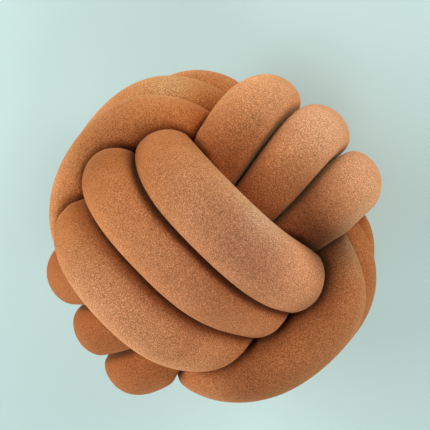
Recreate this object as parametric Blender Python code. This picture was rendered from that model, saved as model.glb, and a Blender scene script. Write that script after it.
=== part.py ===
"""Knot cushion: one long stuffed plush tube wound into a ball, as in a monkey's fist knot.

Three bands of three turns each go round the ball, every band under one neighbour and
over the other, and both ends of the tube are tucked into its middle. The bands are
"fingers", whose ends stand at the +Y side, "face", whose three passes cross the front
(+Z) along X, and "arcs", which go round the ball level with the surface it lies on.
The cushion lies on its back: the origin is in the middle of its flattened underside.
"""

from collections import namedtuple

import bmesh
import bpy
import numpy as np

NODE_NAME = "knot_tube"
COLLECTION_NAME = "knot_cushion"
MM = 0.001

# Driving dimensions in millimetres.
TUBE_RADIUS = 25.5       # stuffed tube where nothing presses on it
PASS_GAP = 1.8           # left between two passes that press on each other
BASE_DEPTH = 117.5       # from the ball's middle down to the flattened underside
SHIFT_TURN = 1.3         # radians of a turn in which the tube moves over to the next turn
END_CUT = 0.35           # radians left off both ends of a band for the way to the next one
SIDE_BLEND = 1.2         # how fast a turn moves from its inner place to its outer one
JOIN_HANDLE = 1.0        # length of a join's end tangents, as a share of the gap it spans

# Rings along the tube and points round each ring.
RING_COUNT = 480
RING_SIDES = 12

# Settling: hidden passes push each other apart to at least this distance.
SETTLE_DISTANCE = 25.0
SETTLE_ROUNDS = 60
SETTLE_GAIN = 1.6
HIDDEN_RADIUS = 96.0     # passes nearer than this to the ball's middle are hidden ones
HIDDEN_BLEND = 22.0
OWN_LENGTH = 75.0        # a stretch doesn't push its own neighbourhood

# One row for each turn, in millimetres. Every turn is a rounded square round the ball's
# middle. "far" is the distance of its outer passes from the middle and "side" where they
# sit along the band's own axis. "deep" and "seat" say the same of its inner passes, which
# run under another band. "lean" moves an outer pass towards the turn's plus side, and
# "square" is the exponent of the rounded square: 2 is an ellipse, more is squarer.
Turn = namedtuple("Turn", (
    "far_plus side_plus far_minus side_minus deep_plus seat_plus deep_minus seat_minus "
    "lean_plus lean_minus square_plus square_minus"))

FINGERS = (
    Turn(99, -38, 90, -56, 54, -25, 56, -45, 14, 7, 3.3, 3.0),
    Turn(107, 1, 105, -15, 51, 12, 66, -8, 14, 7, 3.2, 3.0),
    Turn(100, 44, 112, 22, 41, 46, 56, 29, 12, 6, 3.2, 3.0),
)
FACE = (
    Turn(106, 42, 99, 45, 70, 35, 59, 32, 0, 0, 3.0, 3.0),
    Turn(101, 3, 100, 0, 57, 2, 82, 4, 0, 0, 3.0, 3.0),
    Turn(94, -44, 99, -45, 53, -40, 73, -37, 0, 0, 3.0, 3.0),
)
ARCS = (
    Turn(101, 35, 94, 44, 52, 35, 71, 37, 17, 8, 3.3, 2.9),
    Turn(101, -8, 105, 0, 64, -4, 66, 0, 4, 4, 3.2, 3.0),
    Turn(86, -50, 99, -44, 68, -41, 56, -37, 0, 10, 3.2, 3.2),
)

# A band's outer passes lie along "long", its inner ones along "short" and its turns stand
# side by side along "axis". "way" is the direction of winding, "start" the short side on
# which it starts and moves over from turn to turn.
Band = namedtuple("Band", "turns long short axis way start")
BANDS = (
    Band(FINGERS, (0, 1, 0), (0, 0, 1), (1, 0, 0), 1, -1),
    Band(FACE, (0, 0, 1), (1, 0, 0), (0, 1, 0), -1, 1),
    Band(ARCS, (1, 0, 0), (0, 1, 0), (0, 0, 1), -1, -1),
)

# The two ends of the tube, tucked into the middle of the ball.
FIRST_END = ((12, 8, 18), (-8, -8, 6), (-20, -20, -14))
LAST_END = ((-30, -30, 22), (-6, -10, 38))

PLUSH_COLOUR = (0.527, 0.212, 0.078, 1.0)
PLUSH_ROUGHNESS = 0.9


def smoothstep(t):
    t = np.clip(t, 0.0, 1.0)
    return t * t * (3.0 - 2.0 * t)


def unit(v):
    return v / np.linalg.norm(v, axis=-1, keepdims=True)


def resample(points, count):
    """Spread count points evenly along a polyline."""
    lengths = np.linalg.norm(np.diff(points, axis=0), axis=1)
    along = np.concatenate(([0.0], np.cumsum(lengths)))
    at = np.linspace(0.0, along[-1], count)
    return np.stack([np.interp(at, along, points[:, i]) for i in range(3)], axis=1)


def resample_step(points, step):
    length = np.linalg.norm(np.diff(points, axis=0), axis=1).sum()
    return resample(points, int(round(length / step)) + 1)


def smoothed(values, passes):
    """Average each row with its neighbours, keeping both ends."""
    for _ in range(passes):
        inner = 0.25 * values[:-2] + 0.5 * values[1:-1] + 0.25 * values[2:]
        values = np.concatenate((values[:1], inner, values[-1:]))
    return values


def turn_values(band, turns_done):
    """Each Turn column along the band, moving to the next row in a short stretch."""
    values = {}
    for name in Turn._fields:
        rows = [float(getattr(turn, name)) for turn in band.turns]
        before, after = rows[0], rows[-1]
        if name.startswith("seat"):
            before = 2.0 * rows[0] - rows[1]
            after = 2.0 * rows[-1] - rows[-2]
        steps = [before] + rows + [after]
        column = np.full_like(turns_done, before)
        for i in range(len(steps) - 1):
            moved = (turns_done - i) * 2.0 * np.pi / SHIFT_TURN + 0.5
            column += (steps[i + 1] - steps[i]) * smoothstep(moved)
        values[name] = column
    return values


def band_path(band, points_a_turn=240):
    """Centre line of one band's three turns."""
    count = len(band.turns)
    turns_done = np.linspace(0.0, count, points_a_turn * count + 1)
    first_angle = band.start * np.pi / 2.0
    angle = first_angle + band.way * 2.0 * np.pi * turns_done
    val = turn_values(band, turns_done)
    cos, sin = np.cos(angle), np.sin(angle)

    def pick(name, sign):
        return np.where(sign > 0, val[name + "_plus"], val[name + "_minus"])

    power = 2.0 / pick("square", cos)
    outer = np.abs(cos) ** SIDE_BLEND
    u = pick("far", cos) * np.sign(cos) * np.abs(cos) ** power
    v = pick("deep", sin) * np.sign(sin) * np.abs(sin) ** power
    v += pick("lean", cos) * cos ** 2
    w = outer * pick("side", cos) + (1.0 - outer) * pick("seat", sin)
    axes = np.array((band.long, band.short, band.axis), float)
    points = np.stack((u, v, w), axis=1) @ axes
    cut = END_CUT / (2.0 * np.pi)
    return points[(turns_done > cut) & (turns_done < count - cut)]


def join(before, after, count=24):
    """Smooth way from the end of one band to the start of the next."""
    start, end = before[-1], after[0]
    reach = np.linalg.norm(end - start) * JOIN_HANDLE
    start_way = unit(before[-1] - before[-2]) * reach
    end_way = unit(after[1] - after[0]) * reach
    t = np.linspace(0.0, 1.0, count + 2)[1:-1, None]
    return ((2 * t**3 - 3 * t**2 + 1) * start + (t**3 - 2 * t**2 + t) * start_way
            + (3 * t**2 - 2 * t**3) * end + (t**3 - t**2) * end_way)


def curve_through(points, count=20):
    """Smooth curve through a few points."""
    ends = (2 * points[0] - points[1], 2 * points[-1] - points[-2])
    p = np.vstack((ends[0], points, ends[1]))
    t = np.linspace(0.0, 1.0, count, endpoint=False)[:, None]
    pieces = []
    for a, b, c, d in zip(p[:-3], p[1:-2], p[2:-1], p[3:]):
        pieces.append(0.5 * (2 * b + (c - a) * t + (2 * a - 5 * b + 4 * c - d) * t**2
                             + (3 * b - a - 3 * c + d) * t**3))
    pieces.append(points[-1:])
    return np.concatenate(pieces)


def settle(path, step):
    """Push hidden passes apart until crossing ones have room, and ease their bends."""
    index = np.arange(len(path))
    others = np.abs(index[:, None] - index[None]) > OWN_LENGTH / step
    for turn in range(SETTLE_ROUNDS):
        apart = path[:, None] - path[None]
        distance = np.maximum(np.linalg.norm(apart, axis=-1), 1e-6)
        close = others & (distance < SETTLE_DISTANCE)
        push = np.where(close, (SETTLE_DISTANCE - distance) / distance, 0.0)
        move = (apart * push[..., None]).sum(axis=1)
        move *= 0.5 / np.maximum(close.sum(axis=1), 1)[:, None]
        from_middle = np.linalg.norm(path, axis=1)
        hidden = smoothstep((HIDDEN_RADIUS - from_middle) / HIDDEN_BLEND)[:, None]
        path = path + SETTLE_GAIN * smoothed(move, 12) * hidden
        if turn % 4 == 3:
            path = path + (smoothed(path, 1) - path) * hidden
    return smoothed(path, 6)


def tube_path():
    """Centre line of the whole tube, from one tucked end to the other."""
    fingers, face, arcs = (band_path(band) for band in BANDS)
    lead_in = curve_through(np.vstack((FIRST_END, fingers[0], fingers[6])))
    lead_in = lead_in[:np.argmin(np.linalg.norm(lead_in - fingers[0], axis=1))]
    lead_out = curve_through(np.vstack((arcs[-7], arcs[-1], LAST_END)))
    lead_out = lead_out[np.argmin(np.linalg.norm(lead_out - arcs[-1], axis=1)) + 1:]
    path = np.concatenate((lead_in, fingers, join(fingers, face), face,
                           join(face, arcs), arcs, lead_out))
    path = smoothed(resample_step(path, 2.0), 30)
    step = 6.0
    return settle(resample_step(path, step), step)


def pressed_radius(centres, directions, path, own_points):
    """Radius of the tube in each direction once its neighbours press on it.

    Each pass ends half-way to any other, so two passes meet in the plane between their
    centre lines. A soft minimum rounds the edge where a pressed flat meets the free side.
    """
    apart = path[None] - centres[:, None]
    squared = (apart ** 2).sum(axis=-1)
    nearest = squared.argmin(axis=1)
    own = np.abs(np.arange(len(path))[None] - nearest[:, None]) <= own_points
    towards = np.einsum("nok,nsk->nso", apart, directions)
    facing = (towards > 1e-6) & ~own[:, None]
    towards = np.where(facing, towards, 1.0)
    half_way = (0.5 * squared - 0.5 * PASS_GAP * np.sqrt(squared))[:, None] / towards
    limit = np.where(facing, half_way, np.inf).min(axis=-1)
    softness = 12.0
    return (TUBE_RADIUS ** -softness + np.maximum(limit, 2.0) ** -softness) ** (-1 / softness)


def bevelled_tube(centres):
    """Round tube along the centre line, from a curve with a round bevel."""
    curve = bpy.data.curves.new("tube_curve", "CURVE")
    curve.dimensions = "3D"
    curve.bevel_depth = TUBE_RADIUS
    curve.bevel_resolution = RING_SIDES // 2 - 2
    spline = curve.splines.new("POLY")
    spline.points.add(len(centres) - 1)
    spline.points.foreach_set("co", np.insert(centres, 3, 1.0, axis=1).ravel())
    guide = bpy.data.objects.new("tube_curve", curve)
    bpy.context.scene.collection.objects.link(guide)
    bpy.context.view_layer.update()
    evaluated = guide.evaluated_get(bpy.context.evaluated_depsgraph_get())
    mesh = bpy.data.meshes.new_from_object(evaluated)
    bpy.data.objects.remove(guide)
    bpy.data.curves.remove(curve)
    return mesh


def press(mesh, centres, path):
    """Press the round tube against its neighbours and flat on the surface it lies on."""
    count = len(mesh.vertices)
    flat = np.empty(count * 3)
    mesh.vertices.foreach_get("co", flat)
    rings = flat.reshape(len(centres), RING_SIDES, 3)
    directions = unit(rings - centres[:, None])
    radius = pressed_radius(centres, directions, path, own_points=3)
    rings = centres[:, None] + radius[..., None] * directions
    rings[..., 2] = np.maximum(rings[..., 2], -BASE_DEPTH)
    points = rings.reshape(-1, 3)
    middle = 0.5 * (points.min(axis=0) + points.max(axis=0))
    middle[2] = -BASE_DEPTH
    mesh.vertices.foreach_set("co", ((points - middle) * MM).ravel())


def close_ends(mesh):
    """Close both open ends of the tube and point every face outwards."""
    work = bmesh.new()
    work.from_mesh(mesh)
    open_edges = [edge for edge in work.edges if edge.is_boundary]
    bmesh.ops.holes_fill(work, edges=open_edges, sides=RING_SIDES)
    bmesh.ops.recalc_face_normals(work, faces=work.faces)
    work.to_mesh(mesh)
    work.free()
    mesh.shade_smooth()


def plush_material():
    material = bpy.data.materials.new("plush")
    material.use_nodes = True
    shader = material.node_tree.nodes["Principled BSDF"]
    shader.inputs["Base Color"].default_value = PLUSH_COLOUR
    shader.inputs["Roughness"].default_value = PLUSH_ROUGHNESS
    shader.inputs["Metallic"].default_value = 0.0
    return material


def build_knot_tube():
    fine = resample(tube_path(), 2 * RING_COUNT - 1)
    centres = fine[::2]
    mesh = bevelled_tube(centres)
    press(mesh, centres, fine)
    close_ends(mesh)
    mesh.name = NODE_NAME
    mesh.materials.append(plush_material())
    return bpy.data.objects.new(NODE_NAME, mesh)


def main():
    for old in list(bpy.data.objects):
        bpy.data.objects.remove(old)
    collection = bpy.data.collections.new(COLLECTION_NAME)
    bpy.context.scene.collection.children.link(collection)
    collection.objects.link(build_knot_tube())


main()
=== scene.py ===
import bpy
import numpy as np
from mathutils import Matrix, Vector


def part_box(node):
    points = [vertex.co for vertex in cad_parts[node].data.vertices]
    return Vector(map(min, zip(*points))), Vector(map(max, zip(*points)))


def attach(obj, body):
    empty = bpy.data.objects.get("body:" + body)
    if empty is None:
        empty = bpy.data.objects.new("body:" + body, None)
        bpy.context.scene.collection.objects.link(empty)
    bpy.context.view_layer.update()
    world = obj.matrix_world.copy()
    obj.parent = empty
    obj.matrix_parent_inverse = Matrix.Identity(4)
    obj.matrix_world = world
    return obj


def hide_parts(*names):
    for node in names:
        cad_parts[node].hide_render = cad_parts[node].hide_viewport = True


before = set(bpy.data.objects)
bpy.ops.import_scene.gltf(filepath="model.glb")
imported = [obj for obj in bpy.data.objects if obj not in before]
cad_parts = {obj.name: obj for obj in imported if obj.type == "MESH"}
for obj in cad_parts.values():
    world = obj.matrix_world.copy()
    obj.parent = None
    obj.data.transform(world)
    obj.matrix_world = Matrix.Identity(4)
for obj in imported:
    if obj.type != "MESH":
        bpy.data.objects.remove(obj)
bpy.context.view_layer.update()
knotLow, knotHigh = (np.array(corner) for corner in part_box("knot_tube"))
mm = 0.001
fullTurn = 2.0 * np.pi
tiny = 1e-6                   # keeps divisions off nought
rowsAtOnce = 40               # rings of the tube worked out together, to save memory
print("frame loaded, knot_tube box", knotLow.round(4), knotHigh.round(4))

knot = {
    "tubeRadius": 25.5,       # stuffed tube where nothing presses on it
    "leastRadius": 2.0,       # of the tube, however hard it is pressed
    "passGap": 0.7,           # left between two passes that press on each other
    "pressSoftness": 9.0,     # how sharply a pressed flat meets the free side
    "baseDepth": 117.5,       # middle of the ball down to the surface it lies on
    "rings": 1640,            # along the tube
    "sides": 58,              # round the tube
    "coarsePoints": 959,      # of the centre line, when passes are measured against each other
    "shiftTurn": 1.3,         # radians in which the tube moves over to its next turn
    "endCut": 0.35,           # radians left off both ends of a band
    "sideBlend": 1.2,         # higher: a pass leaves its outer place along the axis sooner
    "fineStep": 2.0,          # between points of the centre line while its joins are eased
    "coarseStep": 6.0,        # and while the hidden passes settle
    "joinEasing": 30,         # rounds of averaging, here and in the next three
    "pushEasing": 12,
    "settledEasing": 6,
    "ringEasing": 3,
    "settleDistance": 25.0,   # crossing passes inside the ball are pushed this far apart
    "settleRounds": 60,
    "settleGain": 1.6,        # how much of its push a pass follows
    "evenOutEvery": 4,        # rounds
    "hiddenRadius": 96.0,     # passes deeper than this are free to move
    "hiddenBlend": 22.0,      # and this much deeper they move fully
    "ownLength": 75.0,        # along the tube, what still counts as the same pass
    "leadPoints": 6,          # into a band, where its tucked end aims
    "firstEnd": ((12, 8, 18), (-8, -8, 6), (-20, -20, -14)),
    "lastEnd": ((-30, -30, 22), (-6, -10, 38)),
}

# One row for each turn, in millimetres. far: outer passes from the middle; side: where they
# sit along the band's axis; deep and seat: the same of the inner passes under another band;
# lean: outer passes moved towards the plus side; square: exponent of the rounded square.
turnColumns = ("farPlus sidePlus farMinus sideMinus deepPlus seatPlus deepMinus seatMinus "
               "leanPlus leanMinus squarePlus squareMinus").split()
fingers = {"long": (0, 1, 0), "short": (0, 0, 1), "axis": (1, 0, 0), "way": 1, "start": -1,
           "turns": ((99, -36, 90, -56, 54, -23, 56, -45, 14, 7, 3.3, 3.0),
                     (107, 4, 105, -15, 51, 14, 66, -8, 14, 7, 3.2, 3.0),
                     (100, 44, 112, 22, 41, 46, 56, 29, 12, 6, 3.2, 3.0))}
face = {"long": (0, 0, 1), "short": (1, 0, 0), "axis": (0, 1, 0), "way": -1, "start": 1,
        "turns": ((106, 43, 99, 45, 70, 36, 59, 31, 0, 0, 3.0, 3.0),
                  (101, 2, 100, 0, 57, 6, 82, -1, 0, 0, 3.0, 3.0),
                  (94, -46, 99, -45, 53, -35, 73, -41, 0, 0, 3.0, 3.0))}
arcs = {"long": (1, 0, 0), "short": (0, 1, 0), "axis": (0, 0, 1), "way": -1, "start": -1,
        "turns": ((101, 35, 94, 44, 52, 35, 71, 37, 17, 8, 3.3, 2.9),
                  (101, -8, 105, 0, 64, -4, 66, 0, 4, 4, 3.2, 3.0),
                  (86, -50, 99, -44, 68, -41, 56, -37, 0, 10, 3.2, 3.2))}


def smoothStep(t):
    # 3t^2 - 2t^3 between nought and one
    t = np.clip(t, 0.0, 1.0)
    return t * t * (3.0 - 2.0 * t)


def unit(vectors):
    return vectors / np.linalg.norm(vectors, axis=-1, keepdims=True)


def lengthsAlong(points):
    # from a polyline's start to each of its points
    steps = np.linalg.norm(np.diff(points, axis=0), axis=1)
    return np.concatenate(([0.0], np.cumsum(steps)))


def resample(points, count):
    # count points spread evenly along a polyline
    along = lengthsAlong(points)
    at = np.linspace(0.0, along[-1], count)
    return np.stack([np.interp(at, along, points[:, i]) for i in range(3)], axis=1)


def resampleStep(points, step):
    return resample(points, int(round(lengthsAlong(points)[-1] / step)) + 1)


def smoothed(values, rounds):
    # each row averaged with its neighbours 1-2-1, the ends kept
    for _ in range(rounds):
        inner = 0.25 * values[:-2] + 0.5 * values[1:-1] + 0.25 * values[2:]
        values = np.concatenate((values[:1], inner, values[-1:]))
    return values


def columnAlong(name, rows, turnsDone):
    # a turn's value, moved to the next row's by a smooth step where a turn ends
    before, after = rows[0], rows[-1]
    if name.startswith("seat"):
        before = 2.0 * rows[0] - rows[1]
        after = 2.0 * rows[-1] - rows[-2]
    steps = [before, *rows, after]
    column = np.full_like(turnsDone, before)
    for i in range(len(steps) - 1):
        moved = smoothStep((turnsDone - i) * fullTurn / knot["shiftTurn"] + 0.5)
        column += (steps[i + 1] - steps[i]) * moved
    return column


def bandPath(band, pointsATurn=240):
    # rounded square: u = far * cos^(2/n), v = deep * sin^(2/n) + lean * cos^2,
    # and the place along the axis blends from seat to side with |cos|
    turns = np.array(band["turns"], float)
    count = len(turns)
    turnsDone = np.linspace(0.0, count, pointsATurn * count + 1)
    angle = band["start"] * np.pi / 2.0 + band["way"] * fullTurn * turnsDone
    value = {name: columnAlong(name, turns[:, i], turnsDone)
             for i, name in enumerate(turnColumns)}
    cos, sin = np.cos(angle), np.sin(angle)

    def pick(name, sign):
        return np.where(sign > 0, value[name + "Plus"], value[name + "Minus"])

    power = 2.0 / pick("square", cos)
    outer = np.abs(cos) ** knot["sideBlend"]
    u = pick("far", cos) * np.sign(cos) * np.abs(cos) ** power
    v = pick("deep", sin) * np.sign(sin) * np.abs(sin) ** power + pick("lean", cos) * cos ** 2
    w = outer * pick("side", cos) + (1.0 - outer) * pick("seat", sin)
    axes = np.array((band["long"], band["short"], band["axis"]), float)
    cut = knot["endCut"] / fullTurn
    kept = (turnsDone > cut) & (turnsDone < count - cut)
    return (np.stack((u, v, w), axis=1) @ axes)[kept]


def join(before, after, count=24):
    # Hermite curve that leaves one band and enters the next along their own directions
    start, end = before[-1], after[0]
    reach = np.linalg.norm(end - start)
    startWay = unit(before[-1] - before[-2]) * reach
    endWay = unit(after[1] - after[0]) * reach
    t = np.linspace(0.0, 1.0, count + 2)[1:-1, None]
    return ((2 * t**3 - 3 * t**2 + 1) * start + (t**3 - 2 * t**2 + t) * startWay
            + (3 * t**2 - 2 * t**3) * end + (t**3 - t**2) * endWay)


def curveThrough(points, count=20):
    # Catmull-Rom curve through a few points
    p = np.vstack((2 * points[0] - points[1], points, 2 * points[-1] - points[-2]))
    t = np.linspace(0.0, 1.0, count, endpoint=False)[:, None]
    pieces = [0.5 * (2 * b + (c - a) * t + (2 * a - 5 * b + 4 * c - d) * t**2
                     + (3 * b - a - 3 * c + d) * t**3)
              for a, b, c, d in zip(p[:-3], p[1:-2], p[2:-1], p[3:])]
    return np.concatenate(pieces + [points[-1:]])


def settle(path, step):
    # hidden passes push each other apart until crossing ones have room
    index = np.arange(len(path))
    others = np.abs(index[:, None] - index[None]) > knot["ownLength"] / step
    for turn in range(knot["settleRounds"]):
        apart = path[:, None] - path[None]
        distance = np.maximum(np.linalg.norm(apart, axis=-1), tiny)
        close = others & (distance < knot["settleDistance"])
        push = np.where(close, (knot["settleDistance"] - distance) / distance, 0.0)
        move = (apart * push[..., None]).sum(axis=1)
        move *= 0.5 / np.maximum(close.sum(axis=1), 1)[:, None]   # each of two goes half the way
        depth = knot["hiddenRadius"] - np.linalg.norm(path, axis=1)
        hidden = smoothStep(depth / knot["hiddenBlend"])[:, None]
        path = path + knot["settleGain"] * smoothed(move, knot["pushEasing"]) * hidden
        if (turn + 1) % knot["evenOutEvery"] == 0:
            path = path + (smoothed(path, 1) - path) * hidden
    return smoothed(path, knot["settledEasing"])


def tubePath():
    # centre line of the whole tube, from one tucked end to the other
    first, second, third = (bandPath(band) for band in (fingers, face, arcs))
    lead = knot["leadPoints"]
    leadIn = curveThrough(np.vstack((knot["firstEnd"], first[0], first[lead])))
    leadIn = leadIn[:np.argmin(np.linalg.norm(leadIn - first[0], axis=1))]
    leadOut = curveThrough(np.vstack((third[-1 - lead], third[-1], knot["lastEnd"])))
    leadOut = leadOut[np.argmin(np.linalg.norm(leadOut - third[-1], axis=1)) + 1:]
    path = np.concatenate((leadIn, first, join(first, second), second,
                           join(second, third), third, leadOut))
    path = smoothed(resampleStep(path, knot["fineStep"]), knot["joinEasing"])
    return settle(resampleStep(path, knot["coarseStep"]), knot["coarseStep"])


def carriedAxes(path, startWay=(0.3, 0.5, 0.8)):
    # two directions across the tube, carried along it without twisting
    along = unit(np.gradient(path, axis=0))
    across = np.empty_like(path)
    across[0] = unit(np.cross(along[0], startWay))
    for i in range(1, len(path)):
        across[i] = unit(across[i - 1] - along[i] * (across[i - 1] @ along[i]))
    return along, across, np.cross(along, across)


def pressedRadius(centres, directions, coarse, ownPoints=3):
    # r = |v|^2 / (2 v.n): the tube ends half-way to every other pass. A soft minimum with
    # its own radius rounds the edge between a pressed flat and the free side.
    radius = np.empty(directions.shape[:2])
    order = np.arange(len(coarse))
    for low in range(0, len(centres), rowsAtOnce):
        part = slice(low, low + rowsAtOnce)
        apart = coarse[None] - centres[part, None]
        squared = (apart ** 2).sum(axis=-1)
        own = np.abs(order[None] - squared.argmin(axis=1)[:, None]) <= ownPoints
        towards = np.einsum("nok,nsk->nso", apart, directions[part])
        facing = (towards > tiny) & ~own[:, None]
        half = (0.5 * squared - 0.5 * knot["passGap"] * np.sqrt(squared))[:, None]
        limit = np.where(facing, half / np.where(facing, towards, 1.0), np.inf).min(axis=-1)
        radius[part] = np.maximum(limit, knot["leastRadius"])
    soft = knot["pressSoftness"]
    return (knot["tubeRadius"] ** -soft + radius ** -soft) ** (-1.0 / soft)


def shelterOf(points, coarse, fades):
    # how far the crown of a neighbouring pass stands over a point, faded out over the distance
    # between them, for the painted shade there: max of (crown - |p|) / reach * exp(-(gap /
    # fade)^2)
    every = coarse[::2]       # half the points are close enough together for this
    crown = np.linalg.norm(every, axis=1) + knot["tubeRadius"]
    order = np.arange(len(every))
    step = lengthsAlong(every)[-1] / (len(every) - 1)
    shelter = np.empty((len(fades), *points.shape[:2]))
    for low in range(0, len(points), rowsAtOnce):
        part = points[low:low + rowsAtOnce]
        apart = np.linalg.norm(part[:, :, None] - every, axis=-1)
        place = (low + np.arange(len(part))) * (len(every) - 1) / (len(points) - 1)
        own = np.abs(order[None] - place[:, None]) * step < knot["ownLength"]
        gap = np.maximum(apart - knot["tubeRadius"], 0.0)
        over = (crown - np.linalg.norm(part, axis=-1, keepdims=True)) / velour["shelterReach"]
        over = np.where(own[:, None], 0.0, over)
        for i, fade in enumerate(fades):
            faded = over * np.exp(-(gap / fade) ** 2)
            shelter[i, low:low + rowsAtOnce] = faded.max(axis=-1)
    return np.clip(shelter, 0.0, 1.0)


def nearness(points, place, reach):
    # exp(-(distance / reach)^2)
    away = np.linalg.norm(points - np.array(place), axis=-1)
    return np.exp(-(away / reach) ** 2)


def paintedLightTone(points, along, coarse):
    # painted light and shade for the colour: tone = exp(sum of strength * measure) for red,
    # green and blue. rise: the tube climbs or dives, a painted sheen; bend: rise^2; crown:
    # |p| / ballRadius - 1, painted light and shade, redder deeper in and paler farther out; left:
    # -x / ballRadius where that is above nought, painted shade on that side; wide, close and
    # crease: sheltered by a neighbour, faded over three distances, painted shade in the creases
    # with a lighter band beside them; hollow: nearness to one place, where the surface lies low
    # there, a painted shadow; flat and up: nearness to the middles of spots, painted shade and
    # painted highlights.
    # painted shade in the creases, from how far neighbours stand over each point
    wide, close, crease = shelterOf(points, coarse, velour["shelterFades"])
    rise = (along @ unit(np.array(velour["riseWay"])))[:, None] + np.zeros(points.shape[:2])
    outward = np.linalg.norm(points, axis=-1) / velour["ballRadius"]
    low = np.clip((velour["hollowTop"] - outward) / velour["hollowFade"], 0.0, 1.0)
    hollow = nearness(points, velour["hollowAt"], velour["hollowReach"]) * low
    left = np.clip(-points[..., 0] / velour["ballRadius"], 0.0, 1.0)
    measures = {"rise": rise, "bend": rise ** 2, "crown": outward - 1.0, "left": left,
                "wide": wide, "close": close, "crease": crease, "hollow": hollow}
    # painted light and shade, summed over the measures
    strength = sum(measures[name][..., None] * np.array(velour["paintedLightAndShade"][name])
                   for name in measures)
    # painted shade at the flat spots, painted highlights at the up spots
    for spots, change in ((velour["flat"], velour["paintedShadeTone"]),
                          (velour["up"], velour["paintedHighlightTone"])):
        for place, reach, much in spots:
            near = much * nearness(points, place, reach)
            strength = strength + near[..., None] * np.array(change)
    return np.exp(strength)


def tubeSurface():
    # point = centre + radius * (cos(turn) * across + sin(turn) * third), for a turn round the
    # tube and a ring along it, cut off flat at the surface that the ball lies on
    coarse = resample(tubePath(), knot["coarsePoints"])
    centres = smoothed(resample(coarse, knot["rings"]), knot["ringEasing"])
    along, across, third = carriedAxes(centres)
    turn = np.linspace(0.0, fullTurn, knot["sides"], endpoint=False)
    directions = (np.cos(turn)[None, :, None] * across[:, None]
                  + np.sin(turn)[None, :, None] * third[:, None])
    radius = pressedRadius(centres, directions, coarse)
    points = centres[:, None] + radius[..., None] * directions
    points[..., 2] = np.maximum(points[..., 2], -knot["baseDepth"])
    return centres, points, along, coarse


def gridMesh(name, points, ends):
    # a closed tube: rings of quads, and a fan of triangles to a middle point at both ends
    rings, sides = points.shape[:2]
    vertices = np.concatenate((points.reshape(-1, 3), ends))
    ring, side = np.meshgrid(np.arange(rings - 1), np.arange(sides), indexing="ij")
    nextSide = (side + 1) % sides
    quads = np.stack((ring * sides + side, ring * sides + nextSide,
                      (ring + 1) * sides + nextSide, (ring + 1) * sides + side), axis=-1)
    edge = np.arange(sides)
    nextEdge = (edge + 1) % sides
    firstFan = np.stack((np.full(sides, rings * sides), nextEdge, edge), axis=-1)
    lastRing = (rings - 1) * sides
    lastFan = np.stack((np.full(sides, rings * sides + 1), lastRing + edge,
                        lastRing + nextEdge), axis=-1)
    corners = np.concatenate((quads.ravel(), firstFan.ravel(), lastFan.ravel()))
    sizes = np.concatenate((np.full(quads.shape[0] * quads.shape[1], 4),
                            np.full(2 * sides, 3)))
    mesh = bpy.data.meshes.new(name)
    mesh.vertices.add(len(vertices))
    mesh.vertices.foreach_set("co", vertices.ravel())
    mesh.loops.add(len(corners))
    mesh.loops.foreach_set("vertex_index", corners)
    mesh.polygons.add(len(sizes))
    mesh.polygons.foreach_set("loop_start", np.concatenate(([0], np.cumsum(sizes)[:-1])))
    mesh.update(calc_edges=True)
    mesh.validate()
    mesh.shade_smooth()
    return mesh


def knotPiece():
    # the knot stands on the low side of the node's box, over the box's middle
    centres, points, along, coarse = tubeSurface()
    low, high = points.min(axis=(0, 1)), points.max(axis=(0, 1))
    middle = 0.5 * (low + high)
    middle[2] = low[2]
    place = 0.5 * (knotLow + knotHigh)
    place[2] = knotLow[2]
    ballMiddle = place - middle * mm
    ends = np.array((centres[0], centres[-1]))
    mesh = gridMesh("velour_knot", points * mm + ballMiddle, ends * mm + ballMiddle)
    # painted light and shade, kept on the points as a colour attribute
    tone = paintedLightTone(points, along, coarse).reshape(-1, 3)
    tone = np.concatenate((tone, np.ones((len(ends), 3))))
    layer = mesh.attributes.new("painted_light_shade", "FLOAT_COLOR", "POINT")
    layer.data.foreach_set("color", np.insert(tone, 3, 1.0, axis=1).ravel())
    piece = bpy.data.objects.new("velour_knot", mesh)
    bpy.context.scene.collection.objects.link(piece)
    print("velour_knot", len(mesh.vertices), "points, box", (low * mm + ballMiddle).round(4),
          (high * mm + ballMiddle).round(4), "ball middle", ballMiddle.round(4))
    return piece, ballMiddle


def linearColour(hexColour):
    # sRGB hex to linear red, green, blue, alpha
    channels = np.array([int(hexColour[i:i + 2], 16) for i in (1, 3, 5)]) / 255.0
    curved = np.where(channels <= 0.04045, channels / 12.92,
                      ((channels + 0.055) / 1.055) ** 2.4)
    return (*curved.tolist(), 1.0)


def addNode(tree, kind, inputs=None, **settings):
    # an input is a value, or the socket of another node to link from
    node = tree.nodes.new(kind)
    for name, value in settings.items():
        setattr(node, name, value)
    for name, value in (inputs or {}).items():
        if isinstance(value, bpy.types.NodeSocket):
            tree.links.new(value, node.inputs[name])
        else:
            node.inputs[name].default_value = value
    return node


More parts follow.
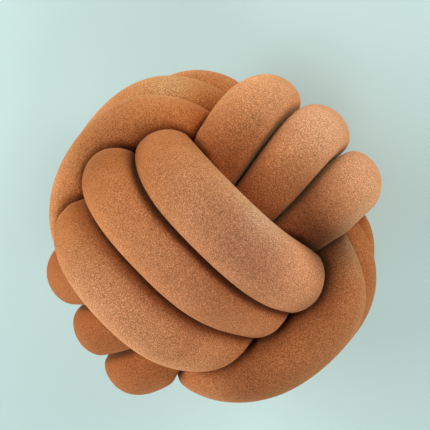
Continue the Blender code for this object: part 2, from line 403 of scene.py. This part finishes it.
velour = {
    "ramp": (                 # height in the pile and the colour there, before the painted light and shade
        (0.34, "#8B5A38"),    # between the tufts
        (0.50, "#B77549"),
        (0.66, "#DA9767"),    # tuft tips
    ),
    "sheenTint": "#FFCD98",
    "sheen": 0.30,
    "sheenRoughness": 0.5,
    "roughness": 0.95,
    "specular": 0.0,
    "grain": 0.75,            # mm, the pile's tufts, drawn coarse enough to show
    "patch": 38.0,            # mm, where the nap was brushed one way or the other
    "patchSpan": (0.3, 0.7),  # what the patches' noise runs between
    "nap": 0.03,              # how far the brushed patches move the tone, of the whole ramp
    "bump": 0.35,             # mm
    "bumpStrength": 0.6,
    # painted sheen: the tube is painted paler where it climbs this way
    "riseWay": (-0.337, 0.308, 0.890),
    "ballRadius": 120.0,
    "shelterReach": 42.0,     # a neighbour this far over a point shelters it fully, in full painted shade
    "shelterFades": (45.0, 8.0, 2.6),
    "hollowAt": (66.0, 62.0, 56.0),   # painted shadow, beside the end of the first face pass
    "hollowReach": 30.0,
    "hollowTop": 1.07,        # of the ball's radius: none of it as far out as this
    "hollowFade": 0.12,       # and all of it this much nearer the middle
    "paintedLightAndShade": {                # strengths of the painted light and shade for red, green and blue
        "rise": (0.36, 0.60, 0.88),
        "bend": (-0.10, -0.30, -0.48),
        "crown": (-0.62, -0.41, 0.23),
        "left": (-0.05, -0.12, -0.36),
        "wide": (-0.50, -0.75, -0.88),
        "close": (0.60, 0.50, 0.42),
        "crease": (-2.5, -2.9, -3.3),
        "hollow": (-1.65, -1.90, -1.90),
    },
    # painted shade (flat) and painted highlights (up) at spots: middle and reach in mm, strength
    "paintedShadeTone": (-0.75, -1.00, -1.15),
    "flat": (
        ((10, 57, 124), 20.0, 0.36),      # first face pass, middle
        ((45, 56, 119), 25.0, 0.42),      # first face pass, towards its low end
        ((50, 8, 109), 24.0, 0.25),       # second face pass
        ((48, -36, 102), 16.0, 0.30),     # third face pass
        ((-22, 78, 68), 22.0, 0.45),      # first finger, at the face
        ((45, 92, 62), 26.0, 0.30),       # third finger, at the face
        ((-106, 12, 66), 34.0, 0.45),     # first arc, far side
        ((96, -42, 50), 26.0, 0.60),      # first arc, under the face
        ((-85, 79, -29), 24.0, 0.18),     # third arc
        ((-10, -92, 62), 50.0, 0.20),     # lower passes
    ),
    "paintedHighlightTone": (0.10, 0.60, 1.00),
    "up": (
        ((14, 124, 34), 44.0, 0.21),      # finger ends
        ((-97, 63, 17), 24.0, 0.70),      # second arc
        ((26, 74, 104), 26.0, 0.55),      # first face pass, outer side
        ((-28, -66, 96), 30.0, 0.26),     # third face pass, outer side
        ((76, 78, 30), 22.0, 0.80),       # first arc, beside the fingers
    ),
}


def velourMaterial():
    # Polyester velour, knitted and sheared to a 1.5 mm pile: no gloss, a warm soft sheen at
    # grazing angles, a fine mottle of light tips and dark roots, and painted light and shade.
    material = bpy.data.materials.new("polyester_velour")
    material.use_nodes = True
    tree = material.node_tree
    shader = tree.nodes["Principled BSDF"]
    place = addNode(tree, "ShaderNodeTexCoord").outputs["Object"]
    grain = addNode(tree, "ShaderNodeTexNoise", {
        "Vector": place, "Scale": 1.0 / (velour["grain"] * mm), "Detail": 1.0,
        "Roughness": 0.5, "Distortion": 1.0})
    patch = addNode(tree, "ShaderNodeTexNoise", {
        "Vector": place, "Scale": 1.0 / (velour["patch"] * mm), "Detail": 2.0,
        "Roughness": 0.5, "Distortion": 0.3})
    patchLow, patchHigh = velour["patchSpan"]
    brushed = addNode(tree, "ShaderNodeMapRange", {
        "Value": patch.outputs["Fac"], "From Min": patchLow, "From Max": patchHigh,
        "To Min": -velour["nap"], "To Max": velour["nap"]})
    height = addNode(tree, "ShaderNodeMath", {
        0: grain.outputs["Fac"], 1: brushed.outputs["Result"]}, operation="ADD")
    ramp = addNode(tree, "ShaderNodeValToRGB", {"Fac": height.outputs["Value"]})
    stops = ramp.color_ramp.elements
    stops.new(velour["ramp"][1][0])
    for stop, (position, colour) in zip(stops, velour["ramp"]):
        stop.position, stop.color = position, linearColour(colour)
    # painted light and shade, from the point attribute, multiplies the pile's colour
    paintedLight = addNode(tree, "ShaderNodeAttribute", attribute_name="painted_light_shade").outputs["Color"]
    # a Mix node's colours are its inputs 6 and 7 and its output 2
    toned = addNode(tree, "ShaderNodeMix", {"Factor": 1.0, 6: ramp.outputs["Color"], 7: paintedLight},
                    data_type="RGBA", blend_type="MULTIPLY")
    tree.links.new(toned.outputs[2], shader.inputs["Base Color"])
    bump = addNode(tree, "ShaderNodeBump", {
        "Height": grain.outputs["Fac"], "Distance": velour["bump"] * mm,
        "Strength": velour["bumpStrength"]})
    tree.links.new(bump.outputs["Normal"], shader.inputs["Normal"])
    shader.inputs["Roughness"].default_value = velour["roughness"]
    shader.inputs["Specular IOR Level"].default_value = velour["specular"]
    shader.inputs["Sheen Weight"].default_value = velour["sheen"]
    shader.inputs["Sheen Roughness"].default_value = velour["sheenRoughness"]
    shader.inputs["Sheen Tint"].default_value = linearColour(velour["sheenTint"])
    return material


stage = {
    "floorPale": "#BFD9D6",
    "floorDark": "#BED8D5",
    "floorRoughness": 0.95,
    "floorSpecular": 0.1,
    "floorTooth": 1.11,       # mm, drawn coarser than a card's own 0.2 mm
    "floorSize": 6.0,         # metres
    "roomLight": 0.03,        # what comes from everywhere, as in a white tent
    "lampAway": 2.4,          # metres from the ball's middle
    "lampAcross": 1.4,        # metres
    "lampColour": "#FFFFFF",
    # name: bearing in the picture and height over the floor in degrees, watts
    "lamps": {
        "right": (30.0, 25.0, 34.0),
        "upper_right": (60.0, 8.0, 23.0),
        "top": (120.0, 8.0, 18.0),
        "upper_left": (150.0, 25.0, 31.0),
        "left": (180.0, 45.0, 14.0),
        "lower_left": (210.0, 8.0, 46.0),
        "bottom": (270.0, 25.0, 12.0),
        "lower_right": (315.0, 45.0, 20.0),
    },
}

view = {
    "distance": 1.1,          # camera to the ball's middle, metres
    "roll": -44.0,            # degrees, of the front passes in the picture
    "tilt": 19.0,             # degrees off the straight view down
    "tiltTowards": 208.0,     # degrees, direction of that tilt in the picture
    "pixelSize": 0.7485,      # mm on the object for one pixel of the picture
    "pictureSize": 430,       # pixels, both ways
    "middleRow": 237,         # picture row of the ball's middle
    "sensor": 36.0,           # mm
}


def floorMaterial():
    # Matt card in pale mint: no gloss, and a tooth that hardly shows
    material = bpy.data.materials.new("matt_card")
    material.use_nodes = True
    tree = material.node_tree
    shader = tree.nodes["Principled BSDF"]
    place = addNode(tree, "ShaderNodeTexCoord").outputs["Object"]
    tooth = addNode(tree, "ShaderNodeTexNoise", {
        "Vector": place, "Scale": 1.0 / (stage["floorTooth"] * mm), "Detail": 2.0})
    ramp = addNode(tree, "ShaderNodeValToRGB", {"Fac": tooth.outputs["Fac"]})
    for stop, name in zip(ramp.color_ramp.elements, ("floorDark", "floorPale")):
        stop.color = linearColour(stage[name])
    tree.links.new(ramp.outputs["Color"], shader.inputs["Base Color"])
    shader.inputs["Roughness"].default_value = stage["floorRoughness"]
    shader.inputs["Specular IOR Level"].default_value = stage["floorSpecular"]
    return material


def addFloor():
    half = stage["floorSize"] / 2.0
    mesh = bpy.data.meshes.new("floor")
    mesh.from_pydata([(-half, -half, 0), (half, -half, 0), (half, half, 0), (-half, half, 0)],
                     [], [(0, 1, 2, 3)])
    mesh.materials.append(floorMaterial())
    floor = bpy.data.objects.new("floor", mesh)
    bpy.context.scene.collection.objects.link(floor)


def addWorld():
    world = bpy.data.worlds.new("white_tent")
    world.use_nodes = True
    background = world.node_tree.nodes["Background"]
    background.inputs["Color"].default_value = linearColour(stage["lampColour"])
    background.inputs["Strength"].default_value = stage["roomLight"]
    bpy.context.scene.world = world


def addLamps(ballMiddle):
    # disks that stand round the ball and face it; their bearings turn with the picture
    roll = np.radians(view["roll"])
    for name, (bearing, height, watts) in stage["lamps"].items():
        bearing, height = np.radians(bearing) - roll, np.radians(height)
        offset = Vector((np.cos(bearing) * np.cos(height), np.sin(bearing) * np.cos(height),
                         np.sin(height)))
        lamp = bpy.data.lights.new(name, "AREA")
        lamp.shape = "DISK"
        lamp.size = stage["lampAcross"]
        lamp.energy = watts
        lamp.color = linearColour(stage["lampColour"])[:3]
        made = bpy.data.objects.new(name, lamp)
        made.location = Vector(ballMiddle) + offset * stage["lampAway"]
        made.rotation_euler = offset.to_track_quat("Z", "Y").to_euler()
        bpy.context.scene.collection.objects.link(made)


def addCamera(ballMiddle):
    # straight down first, rolled in the picture, then tilted about an axis in the picture
    roll, tilt, towards = (np.radians(view[key]) for key in ("roll", "tilt", "tiltTowards"))
    flat = np.array(((np.cos(roll), -np.sin(roll), 0.0), (np.sin(roll), np.cos(roll), 0.0),
                     (0.0, 0.0, 1.0)))
    axis = Vector((-np.sin(towards), np.cos(towards), 0.0))
    right, up, back = np.array(Matrix.Rotation(tilt, 3, axis)) @ flat
    lens = bpy.data.cameras.new("camera")
    focalPixels = view["distance"] / (view["pixelSize"] * mm)
    lens.sensor_width = view["sensor"]
    lens.lens = focalPixels * view["sensor"] / view["pictureSize"]
    lens.shift_y = (view["middleRow"] - view["pictureSize"] / 2.0) / view["pictureSize"]
    camera = bpy.data.objects.new("camera", lens)
    place = Matrix(np.column_stack((right, up, back)).tolist()).to_4x4()
    place.translation = Vector(ballMiddle) + Vector(back) * view["distance"]
    camera.matrix_world = place
    bpy.context.scene.collection.objects.link(camera)
    bpy.context.scene.camera = camera


cushion, ballMiddle = knotPiece()
cushion.data.materials.append(velourMaterial())
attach(cushion, "root")
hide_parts("knot_tube")
print("cushion made and placed")

addFloor()
addWorld()
addLamps(ballMiddle)
addCamera(ballMiddle)
bpy.context.scene.view_settings.view_transform = "Standard"
print("floor, lights and camera placed")
